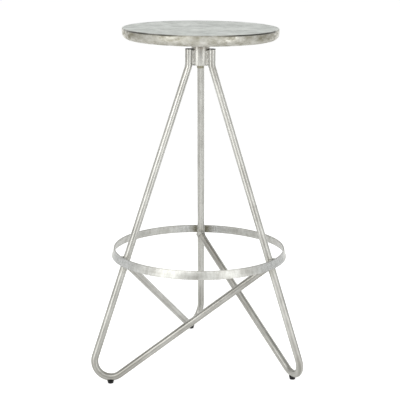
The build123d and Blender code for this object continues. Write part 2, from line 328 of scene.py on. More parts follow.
def as_mesh(bm, name):
    """A bmesh as a new mesh."""
    mesh = bpy.data.meshes.new(name)
    bm.to_mesh(mesh)
    bm.free()
    return mesh


def linked(name, data):
    """A new object for a mesh, a light or a camera, in the scene."""
    made = bpy.data.objects.new(name, data)
    bpy.context.scene.collection.objects.link(made)
    return made


def finished(bm, name, node, body, material):
    """A new piece from a bmesh, smooth except at its hard edges, standing for a CAD node."""
    for face in bm.faces:
        face.smooth = True
    for edge in bm.edges:
        edge.smooth = edge.calc_face_angle(0) < HARD_EDGE
    mesh = as_mesh(bm, name)
    mesh.materials.append(material)
    piece = linked(name, mesh)
    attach(piece, body)
    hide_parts(node)


def merged(node):
    """A CAD node's shape with its loose triangles joined."""
    bm = bmesh.new()
    bm.from_mesh(NODES[node].data)
    return joined(bm)


def smoothed(node, name, body, material):
    """A CAD node's shape as a piece that is smooth except at its hard edges."""
    finished(merged(node), name, node, body, material)


# Material helpers

def put(tree, kind, inputs=None, **settings):
    """A shader node with its settings, its inputs set to values or linked to other nodes' outputs."""
    made = tree.nodes.new(kind)
    for key, value in settings.items():
        setattr(made, key, value)
    for key, value in (inputs or {}).items():
        if isinstance(value, bpy.types.NodeSocket):
            tree.links.new(value, made.inputs[key])
        else:
            made.inputs[key].default_value = value
    return made


def maths(tree, operation, first, second=0.0, third=0.0):
    """The result of one sum on values or on other nodes' outputs."""
    return put(tree, "ShaderNodeMath", {0: first, 1: second, 2: third}, operation=operation).outputs[0]


def weighed(tree, base, *parts):
    """A base value plus masks, each times its weight."""
    for mask, weight in parts:
        base = maths(tree, "MULTIPLY_ADD", mask, weight, base)
    return base


def overlap(tree, first, second):
    """One mask times another, or times a strength."""
    return maths(tree, "MULTIPLY", first, second)


def stretched(tree, vector, along):
    """A vector with each of its parts scaled."""
    return put(tree, "ShaderNodeVectorMath", {0: vector, 1: along}, operation="MULTIPLY").outputs[0]


def parts_of(tree, vector):
    """A vector's X, Y and Z."""
    return put(tree, "ShaderNodeSeparateXYZ", {"Vector": vector}).outputs


def axis_distance(tree, place):
    """How far a point is from the stool's axis."""
    flat = stretched(tree, place, (1, 1, 0))
    return put(tree, "ShaderNodeVectorMath", {0: flat}, operation="LENGTH").outputs["Value"]


def ramp(tree, value, low, high, start=0.0, end=1.0):
    """A value eased from one range into another."""
    inputs = {"Value": value, "From Min": low, "From Max": high, "To Min": start, "To Max": end}
    return put(tree, "ShaderNodeMapRange", inputs, interpolation_type="SMOOTHSTEP").outputs[0]


def between(tree, factor, first, second):
    """A value between two others."""
    return put(tree, "ShaderNodeMix", {"Factor": factor, 2: first, 3: second}).outputs[0]


def tint(tree, factor, first, second):
    """A colour between two others."""
    first = first if isinstance(first, bpy.types.NodeSocket) else (*first, 1)
    second = second if isinstance(second, bpy.types.NodeSocket) else (*second, 1)
    return put(tree, "ShaderNodeMix", {"Factor": factor, 6: first, 7: second}, data_type="RGBA").outputs[2]


def stained(tree, colour, mask, strength, stain):
    """A colour with a stain laid over it where a mask says so."""
    return tint(tree, overlap(tree, mask, strength), colour, stain)


def cloud(tree, vector, scale, detail=4.0, roughness=0.55):
    """A value from soft noise."""
    inputs = {"Vector": vector, "Scale": scale, "Detail": detail, "Roughness": roughness}
    return put(tree, "ShaderNodeTexNoise", inputs).outputs["Fac"]


def group(name, inputs, outputs):
    """An empty shader node group that takes a vector and named values, and its two ends."""
    tree = bpy.data.node_groups.new(name, "ShaderNodeTree")
    tree.interface.new_socket(name="Vector", in_out="INPUT", socket_type="NodeSocketVector")
    for label, default in inputs.items():
        socket = tree.interface.new_socket(name=label, in_out="INPUT", socket_type="NodeSocketFloat")
        socket.default_value = default
    for label in outputs:
        tree.interface.new_socket(name=label, in_out="OUTPUT", socket_type="NodeSocketFloat")
    return tree, tree.nodes.new("NodeGroupInput").outputs, tree.nodes.new("NodeGroupOutput").inputs


def zinc_mottle():
    """Cloudy dull and bright zinc with a fine grain and faint crystal flakes."""
    tree, given, result = group("zinc_mottle", {"Scale": 60.0, "Contrast": 0.5},
                                ("Clouds", "Grain", "Flakes"))
    raw = cloud(tree, given["Vector"], given["Scale"], detail=6.0, roughness=0.62)
    spread = weighed(tree, 0.08, (given["Contrast"], 0.42))
    top = maths(tree, "SUBTRACT", 1.0, spread)
    clouds = put(tree, "ShaderNodeMapRange", {"Value": raw, "From Min": spread, "From Max": top}).outputs[0]
    tree.links.new(clouds, result["Clouds"])
    grain_scale = maths(tree, "MULTIPLY", given["Scale"], GRAIN_FINENESS)
    tree.links.new(cloud(tree, given["Vector"], grain_scale, detail=2.0), result["Grain"])
    flake_scale = maths(tree, "MULTIPLY", given["Scale"], FLAKE_FINENESS)
    flakes = put(tree, "ShaderNodeTexVoronoi", {"Vector": given["Vector"], "Scale": flake_scale})
    shade = put(tree, "ShaderNodeSeparateColor", {"Color": flakes.outputs["Color"]}).outputs[0]
    tree.links.new(shade, result["Flakes"])
    return tree


def drawn_lines():
    """Broad and hair-fine lines that run one way, as drawing and grinding leave them."""
    tree, given, result = group("drawn_lines", {"Broad": 260.0, "Hair": 1100.0}, ("Lines", "Hairlines"))
    broad = cloud(tree, given["Vector"], given["Broad"], detail=3.0, roughness=0.6)
    hairs = cloud(tree, given["Vector"], given["Hair"], detail=2.0, roughness=0.5)
    tree.links.new(ramp(tree, broad, 0.34, 0.66), result["Lines"])
    tree.links.new(ramp(tree, hairs, 0.3, 0.7), result["Hairlines"])
    return tree


def joint_zinc():
    """How near a point is to one of the three welded joints, broken up by lumps of zinc."""
    tree, given, result = group("joint_zinc", {"Reach": 0.18, "Height": 0.26, "Spread": 0.03},
                                ("Near", "Lumps"))
    nearest = None
    for turn in LEG_TURNS.values():
        angle = math.radians(turn)
        east = maths(tree, "MULTIPLY", given["Reach"], math.cos(angle))
        north = maths(tree, "MULTIPLY", given["Reach"], math.sin(angle))
        spot = put(tree, "ShaderNodeCombineXYZ", {"X": east, "Y": north, "Z": given["Height"]}).outputs[0]
        apart = put(tree, "ShaderNodeVectorMath", {0: given["Vector"], 1: spot}, operation="DISTANCE")
        away = apart.outputs["Value"]
        nearest = away if nearest is None else maths(tree, "MINIMUM", nearest, away)
    ragged = weighed(tree, 0.55, (cloud(tree, given["Vector"], scale=170.0, detail=3.0), 0.9))
    share = maths(tree, "DIVIDE", nearest, maths(tree, "MULTIPLY", given["Spread"], ragged))
    near = ramp(tree, share, 0.25, 1.0, start=1.0, end=0.0)
    lumps = ramp(tree, cloud(tree, given["Vector"], scale=300.0, detail=4.0, roughness=0.65), 0.30, 0.70)
    tree.links.new(near, result["Near"])
    tree.links.new(overlap(tree, near, lumps), result["Lumps"])
    return tree


def placed(tree, build, inputs):
    """The outputs of a node group, built once, placed in a material with its own values."""
    built = bpy.data.node_groups.get(build.__name__) or build()
    return put(tree, "ShaderNodeGroup", inputs, node_tree=built).outputs


def mottled(tree, vector, scale, contrast):
    """Zinc mottle placed in a material."""
    return placed(tree, zinc_mottle, {"Vector": vector, "Scale": scale, "Contrast": contrast})


def lined(tree, vector, broad, hair):
    """Drawn lines placed in a material."""
    return placed(tree, drawn_lines, {"Vector": vector, "Broad": broad, "Hair": hair})


def near_joints(tree, vector, reach, height, spread):
    """Zinc round the welded joints placed in a material."""
    return placed(tree, joint_zinc, {"Vector": vector, "Reach": reach, "Height": height, "Spread": spread})


def new_material(name, metallic):
    """A material with one Principled shader, with its tree, the shader and a point's place in the frame."""
    material = bpy.data.materials.new(name)
    material.use_nodes = True
    tree = material.node_tree
    shader = tree.nodes["Principled BSDF"]
    shader.inputs["Metallic"].default_value = metallic
    return material, tree, shader, put(tree, "ShaderNodeTexCoord").outputs["Object"]


def surface(tree, shader, colour, roughness, height, strength, depth):
    """Colour, roughness and relief on a material's shader."""
    tree.links.new(colour, shader.inputs["Base Color"])
    tree.links.new(roughness, shader.inputs["Roughness"])
    bump = put(tree, "ShaderNodeBump", {"Height": height, "Strength": strength, "Distance": depth})
    tree.links.new(bump.outputs[0], shader.inputs["Normal"])


# Finishes

def tube_finish(finish):
    """Zinc coated tube with lines along its run, darker with painted shade lower down, darker at the foot,
    and with a painted dark reflection line along the brace.
    """
    material, tree, shader, place = new_material("galvanised_tube", metallic=0.92)
    unbent = put(tree, "ShaderNodeAttribute", attribute_name="unbent").outputs["Vector"]
    lines = lined(tree, stretched(tree, unbent, (1, 1, 0.004)), broad=230.0, hair=900.0)
    mottle = mottled(tree, stretched(tree, unbent, (1, 1, 0.3)), scale=60.0, contrast=0.6)
    joint = near_joints(tree, place, reach=0.178, height=0.258, spread=0.034)
    share = weighed(tree, 0.1, (lines["Lines"], 0.42), (mottle["Clouds"], 0.42), (lines["Hairlines"], 0.12),
                    (joint["Lumps"], 0.3))
    section = parts_of(tree, unbent)
    along = maths(tree, "MODULO", section["Z"], LEG_SPACING)
    # Painted shade: the tube is darkened down its lower run
    share = maths(tree, "SUBTRACT", share, ramp(tree, along, *TUBE_SHADE_STRETCH, start=0.0, end=0.24))
    past_start = ramp(tree, along, *FOOT_STARTS)
    before_end = ramp(tree, along, *FOOT_ENDS, start=1.0, end=0.0)
    on_foot = overlap(tree, past_start, before_end)
    share = weighed(tree, share, (on_foot, -0.18))
    colour = tint(tree, share, finish.tube_dark, finish.tube_light)
    colour = stained(tree, colour, joint["Near"], 0.3, finish.scorch)
    # Painted dark reflection: a line at a set turn round each tube, fading in and out along the run,
    # strongest on the brace
    angle = maths(tree, "ARCTAN2", section["Y"], section["X"])
    run = stretched(tree, unbent, (0, 0, 1))
    wander = weighed(tree, -0.15, (cloud(tree, run, scale=9.0, detail=1.0), 0.3))
    off_dark_reflection = maths(tree, "ABSOLUTE", maths(tree, "ADD", angle, wander))
    reflection_fade = ramp(tree, cloud(tree, run, scale=14.0, detail=2.0), 0.3, 0.55, start=0.45, end=1.0)
    on_brace = ramp(tree, along, *BRACE_STARTS, start=0.25, end=0.85)
    seam = overlap(tree, ramp(tree, off_dark_reflection, 0.05, 0.18, start=1.0, end=0.0), reflection_fade)
    colour = stained(tree, colour, seam, on_brace, finish.tube_seam)
    roughness = weighed(tree, 0.30, (mottle["Clouds"], 0.10), (joint["Near"], 0.12))
    height = weighed(tree, lines["Hairlines"], (joint["Lumps"], 3.0))
    surface(tree, shader, colour, roughness, height, strength=0.2, depth=0.0003)
    return material


def band_finish(finish):
    """Zinc coated flat bar, ground across its width, with lumps of zinc at the joints."""
    material, tree, shader, place = new_material("galvanised_band", metallic=0.92)
    across = lined(tree, stretched(tree, place, (1, 1, 0.03)), broad=190.0, hair=700.0)
    along = lined(tree, stretched(tree, place, (0.05, 0.05, 1)), broad=240.0, hair=700.0)
    mottle = mottled(tree, place, scale=48.0, contrast=0.62)
    joint = near_joints(tree, place, reach=0.192, height=0.2645, spread=0.085)
    share = weighed(tree, 0.06, (across["Lines"], 0.25), (along["Lines"], 0.2), (mottle["Clouds"], 0.38),
                    (across["Hairlines"], 0.16))
    colour = tint(tree, share, finish.band_dark, finish.band_light)
    spots = maths(tree, "SUBTRACT", joint["Near"], joint["Lumps"])
    colour = stained(tree, colour, spots, 0.75, finish.joint_dark)
    colour = stained(tree, colour, joint["Lumps"], 0.6, finish.joint_light)
    rise = parts_of(tree, place)["Z"]
    above = maths(tree, "SUBTRACT", rise, RING_LOW.z)
    lean = maths(tree, "MULTIPLY_ADD", above, math.tan(BAND_LEAN), axis_distance(tree, place))
    back_skin, front_skin = RING_HIGH.x - 0.0024, RING_HIGH.x - 0.0012
    inside = ramp(tree, lean, back_skin, front_skin, start=1.0, end=0.0)
    burnt = near_joints(tree, place, reach=0.186, height=0.2645, spread=0.034)["Near"]
    colour = stained(tree, colour, overlap(tree, burnt, inside), 0.9, finish.scorch)
    middle = (RING_LOW.z + RING_HIGH.z) / 2
    half = (RING_HIGH.z - RING_LOW.z) / 2
    off_middle = maths(tree, "ABSOLUTE", maths(tree, "SUBTRACT", rise, middle))
    edge = ramp(tree, off_middle, half * 0.78, half * 0.96)
    colour = stained(tree, colour, edge, 0.45, finish.weld_dark)
    roughness = weighed(tree, 0.34, (mottle["Clouds"], 0.14), (joint["Near"], 0.14))
    height = weighed(tree, across["Hairlines"], (joint["Lumps"], 6.0))
    surface(tree, shader, colour, roughness, height, strength=0.16, depth=0.0003)
    return material


def sheet_finish(finish):
    """Galvanised sheet: a dull blue-grey top, a warmer brighter rim and a painted dark reflection along its
    upper edge.
    """
    rim_metallic, top_metallic = 0.85, 0.28
    material, tree, shader, place = new_material("galvanised_sheet", metallic=rim_metallic)
    spot = parts_of(tree, place)
    top = SEAT_HIGH.z
    top_starts = (top - 0.0012, top - 0.0002)
    reflection_starts = (top - 0.0042, top - 0.0026)
    reflection_ends = (top - 0.0007, top - 0.0001)
    on_top = ramp(tree, spot["Z"], *top_starts)
    smears = lined(tree, stretched(tree, place, (0.25, 1, 1)), broad=60.0, hair=300.0)
    patches = mottled(tree, place, scale=24.0, contrast=0.66)
    frost = mottled(tree, stretched(tree, place, (0.8, 0.8, 1)), scale=85.0, contrast=0.62)
    top_share = weighed(tree, -0.3, (patches["Clouds"], 0.5), (frost["Clouds"], 0.62),
                        (smears["Lines"], 0.3), (patches["Flakes"], 0.12), (smears["Hairlines"], 0.1))
    top_colour = tint(tree, top_share, finish.top_dark, finish.top_light)
    drips = mottled(tree, stretched(tree, place, (0.6, 0.6, 1)), scale=95.0, contrast=0.66)
    stains = mottled(tree, stretched(tree, place, (0.5, 0.5, 1)), scale=38.0, contrast=0.68)
    rim_share = weighed(tree, -0.06, (drips["Clouds"], 0.6), (stains["Clouds"], 0.4),
                        (drips["Flakes"], 0.1))
    rim_colour = tint(tree, rim_share, finish.rim_dark, finish.rim_light)
    colour = tint(tree, on_top, rim_colour, top_colour)
    # Painted dark reflection: a band just below the top edge, patchy and strongest in four arcs
    low_edge = ramp(tree, spot["Z"], *reflection_starts)
    high_edge = ramp(tree, spot["Z"], *reflection_ends, start=1.0, end=0.0)
    patchy = ramp(tree, cloud(tree, place, scale=16.0, detail=2.0), 0.36, 0.6, start=0.6, end=1.0)
    # On the rim, X times Y is largest halfway between the axes, so the painted dark reflection is darkest
    # in four arcs
    x_times_y = maths(tree, "MULTIPLY", spot["X"], spot["Y"])
    four_arcs = maths(tree, "MULTIPLY", x_times_y, 2 / SEAT_HIGH.x ** 2)
    arcs = ramp(tree, maths(tree, "ABSOLUTE", four_arcs), 0.35, 0.85, start=0.3, end=1.0)
    seam = overlap(tree, overlap(tree, low_edge, high_edge), overlap(tree, patchy, arcs))
    colour = tint(tree, seam, colour, finish.seam)
    rough_top = weighed(tree, 0.72, (patches["Clouds"], -0.12))
    rough_rim = weighed(tree, 0.58, (drips["Clouds"], -0.28))
    relief = weighed(tree, patches["Grain"], (drips["Clouds"], 2.5))
    roughness = between(tree, on_top, rough_rim, rough_top)
    tree.links.new(between(tree, on_top, rim_metallic, top_metallic), shader.inputs["Metallic"])
    surface(tree, shader, colour, roughness, relief, strength=0.45, depth=0.0004)
    return material


def hub_finish(finish):
    """Zinc coated sleeve with lines along its height."""
    material, tree, shader, place = new_material("galvanised_hub", metallic=0.92)
    lines = lined(tree, stretched(tree, place, (1, 1, 0.02)), broad=150.0, hair=700.0)
    mottle = mottled(tree, stretched(tree, place, (1, 1, 0.5)), scale=80.0, contrast=0.6)
    share = weighed(tree, 0.08, (lines["Lines"], 0.35), (mottle["Clouds"], 0.4), (lines["Hairlines"], 0.1))
    colour = tint(tree, share, finish.tube_dark, finish.tube_light)
    roughness = weighed(tree, 0.29, (mottle["Clouds"], 0.10))
    surface(tree, shader, colour, roughness, lines["Hairlines"], strength=0.12, depth=0.0003)
    return material


def weld_finish(finish):
    """Lumpy weld metal under zinc, darker in its hollows."""
    material, tree, shader, place = new_material("weld_zinc", metallic=0.9)
    mottle = mottled(tree, place, scale=260.0, contrast=0.6)
    pits = put(tree, "ShaderNodeTexVoronoi", {"Vector": place, "Scale": 620.0}).outputs["Distance"]
    share = weighed(tree, 0.12, (mottle["Clouds"], 0.7), (pits, 0.35))
    colour = tint(tree, share, finish.weld_dark, finish.weld_light)
    roughness = weighed(tree, 0.32, (mottle["Grain"], 0.25))
    height = weighed(tree, pits, (mottle["Clouds"], 1.5))
    surface(tree, shader, colour, roughness, height, strength=0.6, depth=0.0004)
    return material


def turned_finish(finish):
    """Turned steel with fine tool marks round the axis."""
    material, tree, shader, place = new_material("turned_steel", metallic=0.95)
    rise = parts_of(tree, place)["Z"]
    rings = put(tree, "ShaderNodeCombineXYZ", {"X": axis_distance(tree, place), "Z": rise}).outputs[0]
    marks = lined(tree, rings, broad=700.0, hair=3200.0)
    mottle = mottled(tree, place, scale=90.0, contrast=0.5)
    share = weighed(tree, 0.1, (marks["Lines"], 0.3), (mottle["Clouds"], 0.45), (marks["Hairlines"], 0.2))
    colour = tint(tree, share, finish.steel_dark, finish.steel_light)
    roughness = weighed(tree, 0.28, (mottle["Clouds"], 0.15))
    surface(tree, shader, colour, roughness, marks["Hairlines"], strength=0.35, depth=0.0002)
    return material


def plating_finish(finish):
    """Plated fasteners with an olive cast, darkened with painted shade."""
    material, tree, shader, place = new_material("plated_fastener", metallic=0.95)
    mottle = mottled(tree, place, scale=210.0, contrast=0.5)
    share = weighed(tree, 0.2, (mottle["Clouds"], 0.7))
    colour = tint(tree, share, finish.plating_dark, finish.plating_light)
    roughness = weighed(tree, 0.3, (mottle["Grain"], 0.2))
    surface(tree, shader, colour, roughness, mottle["Grain"], strength=0.25, depth=0.0002)
    return material


def plywood_finish(finish):
    """Sealed birch plywood with a swaying grain along X."""
    material, tree, shader, place = new_material("plywood", metallic=0.0)
    sway = cloud(tree, stretched(tree, place, (1, 2, 1)), scale=7.0, detail=2.0)
    shift = put(tree, "ShaderNodeCombineXYZ", {"Y": maths(tree, "MULTIPLY", sway, 0.05)}).outputs[0]
    swayed = put(tree, "ShaderNodeVectorMath", {0: place, 1: shift}, operation="ADD").outputs[0]
    grain = lined(tree, stretched(tree, swayed, (0.05, 1, 1)), broad=140.0, hair=900.0)
    share = weighed(tree, 0.1, (grain["Lines"], 0.6), (grain["Hairlines"], 0.3))
    colour = tint(tree, share, finish.wood_dark, finish.wood_light)
    roughness = weighed(tree, 0.62, (grain["Hairlines"], -0.15))
    surface(tree, shader, colour, roughness, grain["Hairlines"], strength=0.25, depth=0.0003)
    return material


def plastic_finish(finish, name, flow):
    """Black plastic with a fine grain and pale scuffs that follow its flow."""
    material, tree, shader, place = new_material(name, metallic=0.0)
    shader.inputs["Specular IOR Level"].default_value = 0.18
    mottle = mottled(tree, place, scale=160.0, contrast=0.5)
    marks = lined(tree, stretched(tree, place, flow), broad=300.0, hair=1500.0)
    scuffs = overlap(tree, ramp(tree, mottle["Clouds"], 0.5, 1.0), marks["Hairlines"])
    colour = tint(tree, scuffs, finish.plastic_dark, finish.plastic_light)
    roughness = weighed(tree, 0.45, (scuffs, 0.2))
    height = weighed(tree, mottle["Grain"], (marks["Hairlines"], 0.3))
    surface(tree, shader, colour, roughness, height, strength=0.3, depth=0.0002)
    return material


# Pieces

class STOOL_OT_legs(bpy.types.Operator):
    """Bend the three legs with their braces from round tube"""
    bl_idname = "stool.legs"
    bl_label = "Legs"

    def execute(self, context):
        sizes = context.scene.stool_sizes
        material = tube_finish(context.scene.stool_finish)
        for count, (place, turn) in enumerate(LEG_TURNS.items()):
            bm = bent_leg(sizes, LEG_SPACING * count, math.radians(DARK_REFLECTION_TURNS[place]))
            turned_round(bm, bm.verts[:], turn)
            finished(bm, "tube_" + place, "leg_" + place, "frame", material)
        return {"FINISHED"}


def bent_leg(sizes, start, seam):
    """A leg on the X axis: upright end, hub bend, sloping run, round foot and brace."""
    lean = sizes.leg_lean
    slope = math.tan(lean)
    radius = sizes.tube_diameter / 2

    def reach(height):
        return sizes.leg_reach + (sizes.hub_bend_height - height) * slope

    top = Vector((sizes.leg_reach, 0, TUBE_END))
    hub_corner = Vector((sizes.leg_reach, 0, sizes.hub_bend_height))
    foot_corner = Vector((reach(sizes.foot_corner_height), 0, sizes.foot_corner_height))
    brace_end = Vector((reach(sizes.brace_height) - radius / math.cos(lean), 0, sizes.brace_height))
    brace_end.rotate(Matrix.Rotation(NEXT_LEG, 3, "Z"))
    brace_end += (brace_end - foot_corner).normalized() * sizes.brace_lap

    bm = bmesh.new()
    unbent = bm.verts.layers.float_vector.new("unbent")
    bmesh.ops.create_circle(bm, cap_ends=False, radius=radius, segments=sizes.tube_sides,
                            matrix=Matrix.Translation(top))
    for vert in bm.verts:
        # The unbent frame is turned so that the painted dark reflection line lies at its angle zero
        vert[unbent] = Matrix.Rotation(-seam, 3, "Z") @ (vert.co - top) + Vector((0, 0, start))
    rim = bm.edges[:]
    spent = 0.0
    corners = ((hub_corner, sizes.hub_bend_radius, HUB_BEND_STEPS),
               (foot_corner, sizes.foot_bend_radius, FOOT_BEND_STEPS))
    ends = (top, hub_corner, foot_corner, brace_end)
    for index, (corner, bend_radius, steps) in enumerate(corners):
        came = (corner - ends[index]).normalized()
        goes = (ends[index + 2] - corner).normalized()
        turn = came.angle(goes)
        cut = bend_radius * math.tan(turn / 2)
        run = (corner - ends[index]).length - cut - spent
        rim = drawn_on(bm, rim, came * run, unbent)
        centre = corner - came * cut + (goes - came * goes.dot(came)).normalized() * bend_radius
        for step in range(steps):
            rim = bent_on(bm, rim, centre, came.cross(goes).normalized(), turn / steps, bend_radius, unbent)
        spent = cut
    goes = (brace_end - foot_corner).normalized()
    drawn_on(bm, rim, goes * ((brace_end - foot_corner).length - spent), unbent)
    open_ends = [edge for edge in bm.edges if edge.is_boundary]
    bmesh.ops.holes_fill(bm, edges=open_ends, sides=0)
    bmesh.ops.recalc_face_normals(bm, faces=bm.faces[:])
    return bm


def drawn_on(bm, rim, move, unbent):
    """A tube's open rim drawn out straight; returns the new rim."""
    made = bmesh.ops.extrude_edge_only(bm, edges=rim)["geom"]
    fresh = [item for item in made if isinstance(item, bmesh.types.BMVert)]
    bmesh.ops.translate(bm, verts=fresh, vec=move)
    return carried(made, fresh, move.length, unbent)


def bent_on(bm, rim, centre, axis, angle, bend_radius, unbent):
    """A tube's open rim spun a step round a bend; returns the new rim."""
    old = list({vert for edge in rim for vert in edge.verts})
    made = bmesh.ops.spin(bm, geom=old + rim, cent=centre, axis=axis, angle=angle, steps=1,
                          use_merge=False)["geom_last"]
    fresh = [item for item in made if isinstance(item, bmesh.types.BMVert)]
    return carried(made, fresh, angle * bend_radius, unbent)


def carried(made, fresh, length, unbent):
    """The new rim's edges, each new point placed further along the straight tube than its source."""
    known = set(fresh)
    for vert in fresh:
        beside = [edge.other_vert(vert) for edge in vert.link_edges]
        source = next(other for other in beside if other not in known)
        vert[unbent] = source[unbent] + Vector((0, 0, length))
    return [item for item in made if isinstance(item, bmesh.types.BMEdge)
            and all(vert in known for vert in item.verts)]


class STOOL_OT_foot_ring(bpy.types.Operator):
    """Roll the foot ring from flat bar"""
    bl_idname = "stool.foot_ring"
    bl_label = "Foot ring"

    def execute(self, context):
        sizes = context.scene.stool_sizes
        lean = sizes.band_tilt
        across = Vector((math.cos(lean), math.sin(lean))) * sizes.band_thickness
        up = Vector((-math.sin(lean), math.cos(lean))) * sizes.band_width
        start = Vector((RING_HIGH.x - across.x, RING_LOW.z))
        points = [start, start + across, start + across + up, start + up]
        roundings = {index: (sizes.band_edge, BAND_EDGE_SEGMENTS) for index in range(len(points))}
        bm = spun(points, roundings, closed=True, steps=WIDE_STEPS)
        finished(bm, "foot_ring_band", "foot_ring", "frame",
                 band_finish(context.scene.stool_finish))
        return {"FINISHED"}


class STOOL_OT_hub(bpy.types.Operator):
    """Turn the hub sleeve and its base disc"""
    bl_idname = "stool.hub"
    bl_label = "Hub"

    def execute(self, context):
        sizes = context.scene.stool_sizes
        material = hub_finish(context.scene.stool_finish)
        outer = SLEEVE_HIGH.x
        inner = outer - sizes.sleeve_wall
        points = [(inner, SLEEVE_LOW.z), (outer, SLEEVE_LOW.z),
                  (outer, SLEEVE_HIGH.z), (inner, SLEEVE_HIGH.z)]
        roundings = {index: (sizes.sleeve_edge, SLEEVE_EDGE_SEGMENTS) for index in range(len(points))}
        bm = spun(points, roundings, closed=True, steps=SLEEVE_STEPS)
        finished(bm, "sleeve", "hub_sleeve", "frame", material)
        smoothed("hub_base_disc", "base_disc", "frame", material)
        return {"FINISHED"}


class STOOL_OT_welds(bpy.types.Operator):
    """Lay the lumpy weld beads at the hub, the foot ring, the braces and the post"""
    bl_idname = "stool.welds"
    bl_label = "Welds"

    def execute(self, context):
        sizes = context.scene.stool_sizes
        material = weld_finish(context.scene.stool_finish)
        finished(groove_welds(sizes), "hub_welds_beads", "hub_welds", "frame", material)
        for node, body in (("ring_welds", "frame"), ("brace_welds", "frame"), ("post_weld", "seat")):
            finished(lumpy_bead(node, sizes), node + "_beads", node, body, material)
        return {"FINISHED"}


def lumps_at(point, fine_scale):
    """Height of the lumps of weld metal at a point: broad ones and half as much of fine ones."""
    return noise.noise(point * WELD_LUMPS) + 0.5 * noise.noise(point * fine_scale)


def sway_at(point):
    """How far the weld ripples are shifted at a point, as an angle."""
    return RIPPLE_SHIFT * noise.noise(point * RIPPLE_SWAY)


def groove_welds(sizes):
    """A rippled face of weld metal in each groove between a leg's upright end and the sleeve."""
    low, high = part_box("hub_welds")
    tube = sizes.tube_diameter / 2
    tube_turn, sleeve_turn = sizes.weld_tube_turn, sizes.weld_sleeve_turn
    on_tube = Vector((sizes.leg_reach - tube * math.cos(tube_turn), tube * math.sin(tube_turn)))
    on_sleeve = Vector((math.cos(sleeve_turn), math.sin(sleeve_turn))) * SLEEVE_HIGH.x
    across = on_sleeve - on_tube
    outward = Vector((across.y, -across.x)).normalized()
    middle = (low.z + high.z) / 2
    half = (high.z - low.z) / 2
    taper_start, taper_length = 0.88, 0.12
    bm = bmesh.new()
    for turn in LEG_TURNS.values():
        for side in (-1, 1):
            strip = bmesh.ops.create_grid(bm, x_segments=GROOVE_CELLS_ACROSS,
                                          y_segments=GROOVE_CELLS_ALONG, size=1)["verts"]
            for vert in strip:
                share, rise = vert.co.x / 2 + 0.5, vert.co.y
                seed = Vector((share * across.length, rise * half, turn + side))
                lump = lumps_at(seed, GROOVE_FINE_LUMPS)
                bowed = RIPPLE_BOW * share * (1 - share)
                ripple = math.sin(rise * half * WELD_RIPPLES + bowed + sway_at(seed))
                taper = max(0.0, (abs(rise) - taper_start) / taper_length) ** 2
                relief = GROOVE_LUMP_SHARE * lump + RIPPLE_SHARE * ripple
                swell = 4 * share * (1 - share) * (sizes.weld_swell + sizes.weld_lumps * relief)
                spot = on_tube + across * share + outward * (swell - sizes.weld_dip * taper)
                vert.co = (spot.x, spot.y * side, middle + rise * half)
            turned_round(bm, strip, turn)
    bmesh.ops.recalc_face_normals(bm, faces=bm.faces[:])
    bm.normal_update()
    inward = [face for face in bm.faces if face.normal.xy.dot(face.calc_center_median().xy) < 0]
    bmesh.ops.reverse_faces(bm, faces=inward)
    bmesh.ops.solidify(bm, geom=bm.faces[:], thickness=sizes.weld_depth)
    return bm


def lumpy_bead(node, sizes):
    """A weld bead rebuilt in fine cells and raised in ripples and lumps."""
    plain = linked(node + "_plain", as_mesh(merged(node), node + "_plain"))
    cells = plain.modifiers.new("cells", "REMESH")
    cells.mode = "VOXEL"
    cells.voxel_size = sizes.weld_voxel
    depsgraph = bpy.context.evaluated_depsgraph_get()
    built = bpy.data.meshes.new_from_object(plain.evaluated_get(depsgraph))
    bpy.data.objects.remove(plain)
    bm = bmesh.new()
    bm.from_mesh(built)
    bpy.data.meshes.remove(built)
    bmesh.ops.smooth_vert(bm, verts=bm.verts[:], factor=0.5,
                          use_axis_x=True, use_axis_y=True, use_axis_z=True)
    bm.normal_update()
    for vert in bm.verts:
        lump = lumps_at(vert.co, BEAD_FINE_LUMPS)
        ripple = math.sin(vert.co.z * WELD_RIPPLES + sway_at(vert.co))
        relief = BEAD_LUMP_SHARE * lump + RIPPLE_SHARE * ripple
        vert.co += vert.normal * (sizes.weld_swell + sizes.weld_lumps * relief)
    return bm


class STOOL_OT_seat(bpy.types.Operator):
    """Spin the seat's sheet pan and lay its plywood core"""
    bl_idname = "stool.seat"
    bl_label = "Seat"

    def execute(self, context):
        sizes = context.scene.stool_sizes
        finish = context.scene.stool_finish
        radius = SEAT_HIGH.x
        points = [(0, SEAT_HIGH.z), (radius, SEAT_HIGH.z), (radius, SEAT_LOW.z),
                  (radius - sizes.lip_width, SEAT_LOW.z)]
        roundings = {1: (sizes.seat_top_radius, SEAT_TOP_SEGMENTS),
                     2: (sizes.seat_low_radius, SEAT_LOW_SEGMENTS)}
        bm = spun(points, roundings, closed=False, steps=WIDE_STEPS)
        bmesh.ops.solidify(bm, geom=bm.faces[:], thickness=sizes.sheet_thickness)
        finished(bm, "seat_pan", "seat_shell", "seat", sheet_finish(finish))
        smoothed("seat_core", "core", "seat", plywood_finish(finish))
        return {"FINISHED"}


class STOOL_OT_swivel(bpy.types.Operator):
    """Turn the swivel post with its plate and fasteners"""
    bl_idname = "stool.swivel"
    bl_label = "Swivel post and fasteners"

    def execute(self, context):
        sizes = context.scene.stool_sizes
        finish = context.scene.stool_finish
        steel = turned_finish(finish)
        points = [(0, POST_LOW.z), (POST_HIGH.x, POST_LOW.z), (POST_HIGH.x, POST_HIGH.z), (0, POST_HIGH.z)]
        bm = spun(points, {1: (sizes.post_edge, POST_EDGE_SEGMENTS)}, closed=False, steps=POST_STEPS)
        finished(bm, "post", "seat_post", "seat", steel)
        smoothed("seat_plate", "plate", "seat", steel)
        plating = plating_finish(finish)
        for node, name in (("seat_plate_screws", "plate_screws"), ("retaining_washer", "washer"),
                           ("retaining_bolt", "bolt")):
            smoothed(node, name, "seat", plating)
        return {"FINISHED"}


